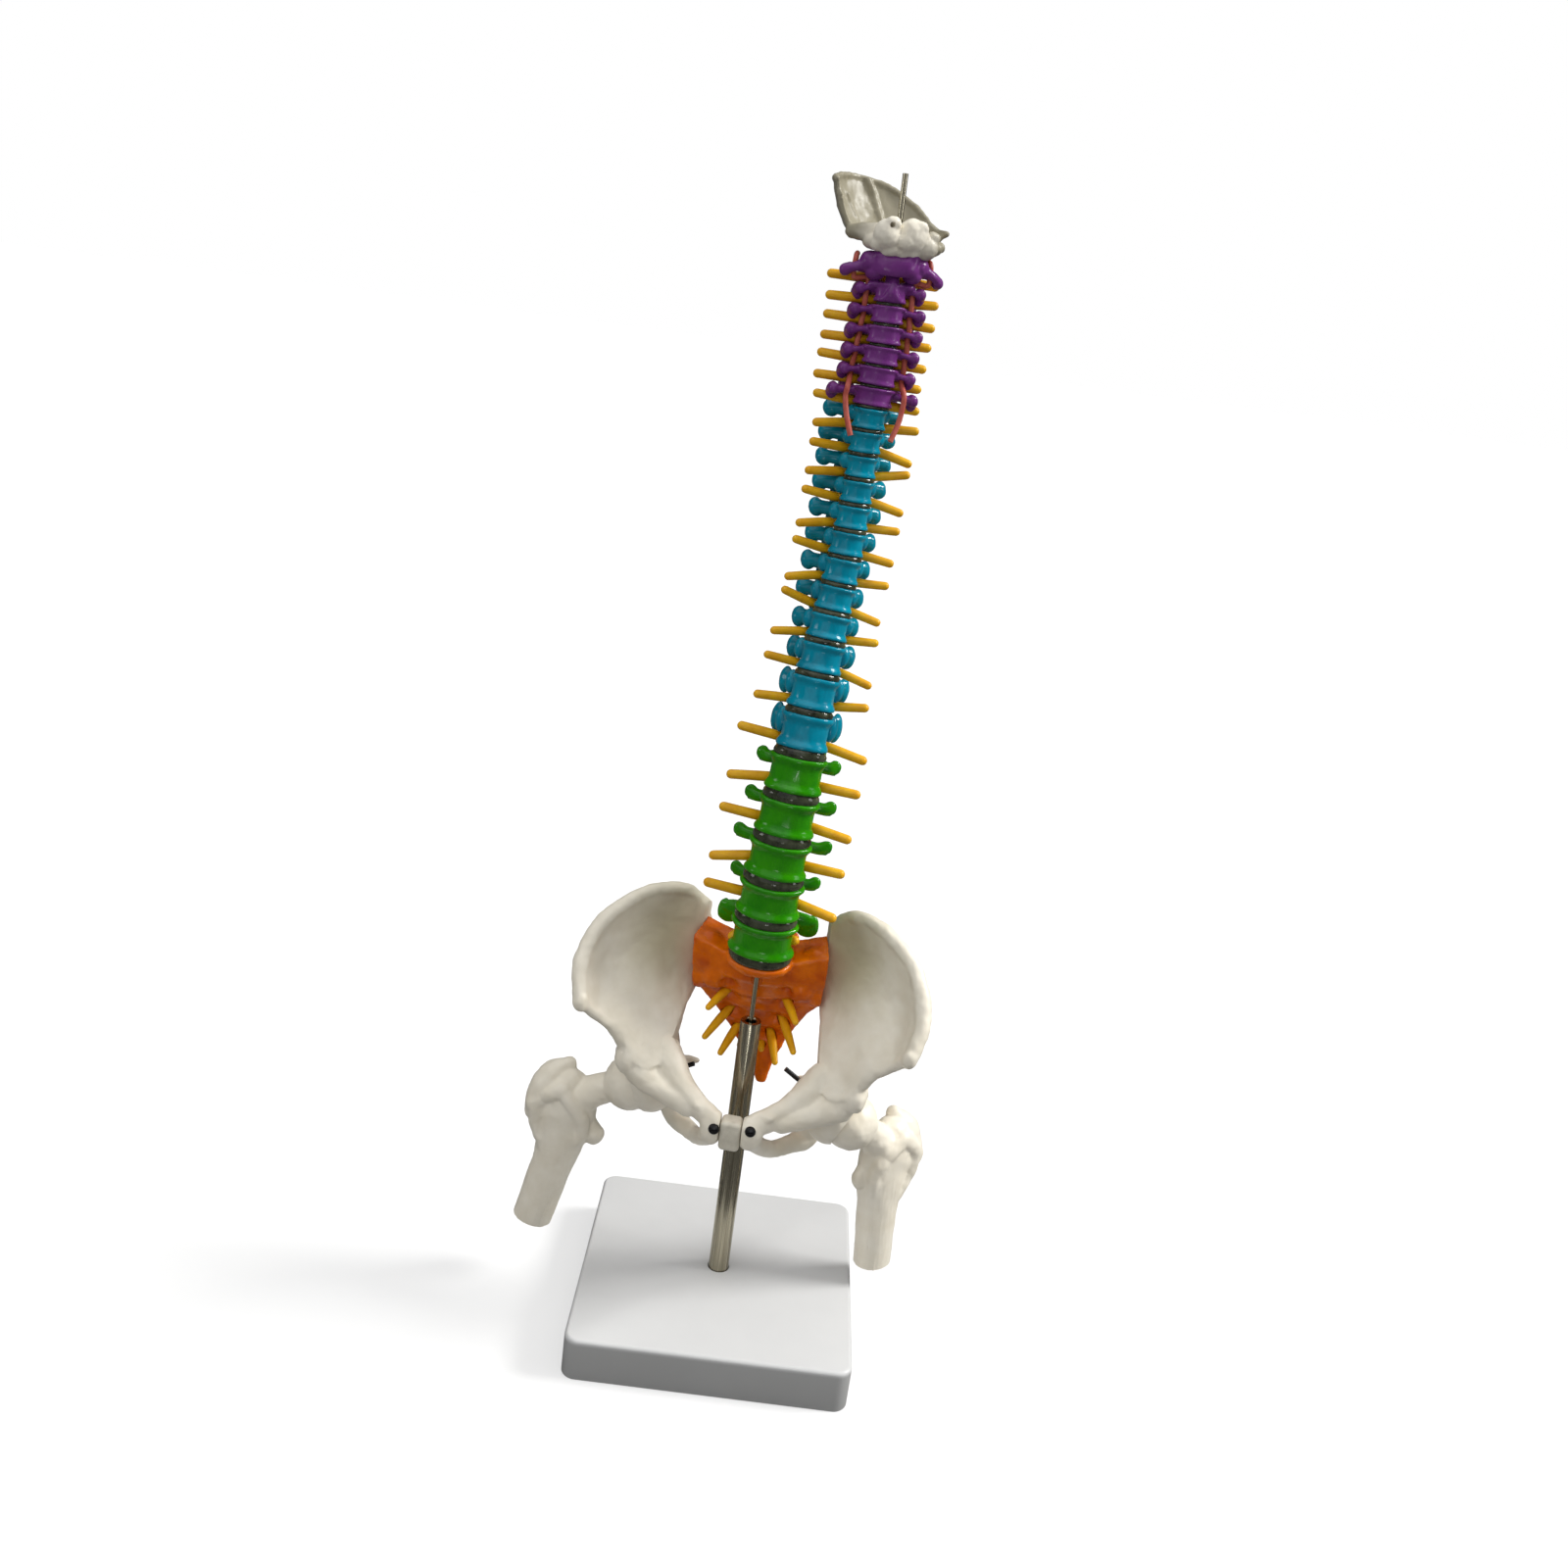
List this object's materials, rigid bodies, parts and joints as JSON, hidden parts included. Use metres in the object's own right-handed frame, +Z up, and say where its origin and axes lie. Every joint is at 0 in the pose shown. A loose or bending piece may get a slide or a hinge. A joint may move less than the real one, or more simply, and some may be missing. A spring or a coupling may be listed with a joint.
{
  "type": "spine anatomy model",
  "caption": "Flexible teaching model of the spine in coloured regions, with pelvis, thigh-bone stubs, nerves, arteries and skull plate, on a pole and square base.",
  "frame": {"origin": "middle of the underside of the square base, on the pole's axis", "axes": "+Z up along the pole, -Y to the front of the body (towards the pubic bones), +X to the model's own left"},
  "size_m": [0.1722, 0.115, 0.4603],
  "materials": {
    "cervical_plastic": "violet moulded plastic, satin gloss",
    "thoracic_plastic": "cyan-blue moulded plastic, satin gloss",
    "lumbar_plastic": "leaf-green moulded plastic, satin gloss",
    "sacrum_plastic": "burnt-orange moulded plastic, satin gloss",
    "bone_plastic": "ivory bone-like moulding, soft sheen",
    "disc_plastic": "smoky clear flexible pad",
    "nerve_plastic": "amber yellow, soft gloss",
    "artery_plastic": "dull red flexible cord",
    "cushion_plastic": "cloudy beige grey pad",
    "base_plastic": "white smooth plastic",
    "steel": "drawn steel, faint lengthwise lines"
  },
  "bodies": {
    "frame": {"stand_base": "base_plastic", "stand_pole": "steel", "core_rod": "steel", "sacrum": "sacrum_plastic", "pubic_symphysis": "cushion_plastic", "hip_bone_left": "bone_plastic", "hip_bone_right": "bone_plastic", "vertebra_L5": "lumbar_plastic", "vertebra_L4": "lumbar_plastic", "vertebra_L3": "lumbar_plastic", "vertebra_L2": "lumbar_plastic", "vertebra_L1": "lumbar_plastic", "vertebra_T12": "thoracic_plastic", "vertebra_T11": "thoracic_plastic", "vertebra_T10": "thoracic_plastic", "vertebra_T9": "thoracic_plastic", "vertebra_T8": "thoracic_plastic", "vertebra_T7": "thoracic_plastic", "vertebra_T6": "thoracic_plastic", "vertebra_T5": "thoracic_plastic", "vertebra_T4": "thoracic_plastic", "vertebra_T3": "thoracic_plastic", "vertebra_T2": "thoracic_plastic", "vertebra_T1": "thoracic_plastic", "vertebra_C7": "cervical_plastic", "vertebra_C6": "cervical_plastic", "vertebra_C5": "cervical_plastic", "vertebra_C4": "cervical_plastic", "vertebra_C3": "cervical_plastic", "vertebra_C2": "cervical_plastic", "vertebra_C1": "cervical_plastic", "disc_L5_S1": "disc_plastic", "disc_L4_L5": "disc_plastic", "disc_L3_L4": "disc_plastic", "disc_L2_L3": "disc_plastic", "disc_L1_L2": "disc_plastic", "disc_T12_L1": "disc_plastic", "disc_T11_T12": "disc_plastic", "disc_T10_T11": "disc_plastic", "disc_T9_T10": "disc_plastic", "disc_T8_T9": "disc_plastic", "disc_T7_T8": "disc_plastic", "disc_T6_T7": "disc_plastic", "disc_T5_T6": "disc_plastic", "disc_T4_T5": "disc_plastic", "disc_T3_T4": "disc_plastic", "disc_T2_T3": "disc_plastic", "disc_T1_T2": "disc_plastic", "disc_C7_T1": "disc_plastic", "disc_C6_C7": "disc_plastic", "disc_C5_C6": "disc_plastic", "disc_C4_C5": "disc_plastic", "disc_C3_C4": "disc_plastic", "disc_C2_C3": "disc_plastic", "spinal_cord_and_nerves": "nerve_plastic", "vertebral_artery_left": "artery_plastic", "vertebral_artery_right": "artery_plastic", "occiput": "bone_plastic"},
    "femur_left": {"femur_left": "bone_plastic"},
    "femur_right": {"femur_right": "bone_plastic"}
  },
  "joints": [
    {"name": "hip_turn_left", "type": "hinge", "parent": "frame", "child": "femur_left", "pos_m": [0.04599, -0.00443, 0.0995], "axis": [0.9954, -0.0958, 0], "range_deg": [-35, 30]},
    {"name": "hip_turn_right", "type": "hinge", "parent": "frame", "child": "femur_right", "pos_m": [-0.04599, 0.00443, 0.0995], "axis": [0.9954, -0.0958, 0], "range_deg": [-35, 30]}
  ]
}
